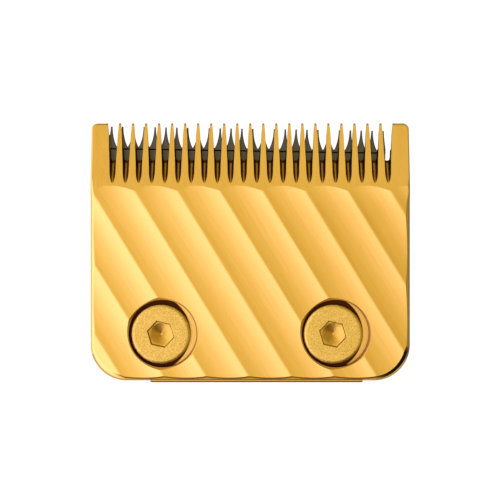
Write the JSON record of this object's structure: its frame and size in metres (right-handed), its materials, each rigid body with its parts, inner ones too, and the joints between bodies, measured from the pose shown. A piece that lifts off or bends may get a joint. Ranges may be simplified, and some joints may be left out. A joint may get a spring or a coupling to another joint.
{
  "type": "hair clipper blade set",
  "caption": "Clipper blade set: fluted gold fixed blade clamped over a dark reciprocating cutter on a spring bracket, with drive yoke, guide and two hex-socket screws.",
  "frame": {"origin": "on the bracket's flat seat face (the back of the bracket), on the centreline of the fixed blade, level with the fixed blade's two screw holes", "axes": "+Z towards the tooth tips, +X along the row of teeth to the right as seen from the fluted face, +Y out of the seat face, away from the fluted face"},
  "size_m": [0.046, 0.0117, 0.0374],
  "materials": {
    "gold_coat": "ground steel with a gold coat, fine lines along the flutes",
    "gold_screw": "blasted steel with a gold coat",
    "dark_coat": "ground steel with a dark hard coat",
    "steel": "turned steel",
    "spring_steel": "drawn spring wire",
    "bracket_aluminium": "blasted and anodised",
    "black_acetal": "moulded, fine grain"
  },
  "bodies": {
    "bracket": {"blade_bracket": "bracket_aluminium", "threaded_insert_left": "steel", "threaded_insert_right": "steel", "cutter_guide": "steel", "guide_screw_left": "steel", "guide_screw_right": "steel", "clamp_washer_left": "steel", "clamp_washer_right": "steel", "tension_spring_left": "spring_steel", "tension_spring_right": "spring_steel", "spring_pin_left": "steel", "spring_pin_right": "steel", "pin_clip_left": "spring_steel", "pin_clip_right": "spring_steel"},
    "comb": {"fixed_blade": "gold_coat"},
    "cutter": {"moving_cutter": "dark_coat", "drive_yoke": "black_acetal", "yoke_screw_left": "steel", "yoke_screw_right": "steel"},
    "screw_left": {"clamp_screw_left": "gold_screw"},
    "screw_right": {"clamp_screw_right": "gold_screw"}
  },
  "joints": [
    {"name": "cutter_stroke", "type": "slide", "parent": "bracket", "child": "cutter", "axis": [0.9999, 0, -0.0162], "range_m": [-0.0014, 0.0014]},
    {"name": "tip_gap_adjust", "type": "slide", "parent": "bracket", "child": "comb", "axis": [0, 0, 1], "range_m": [-0.00035, 0.00035]},
    {"name": "screw_left_turn", "type": "hinge", "parent": "bracket", "child": "screw_left", "pos_m": [-0.01288, -0.0045, -0.0001], "axis": [0, -1, 0], "continuous": true},
    {"name": "screw_right_turn", "type": "hinge", "parent": "bracket", "child": "screw_right", "pos_m": [0.01192, -0.0045, -0.0001], "axis": [0, -1, 0], "continuous": true}
  ]
}
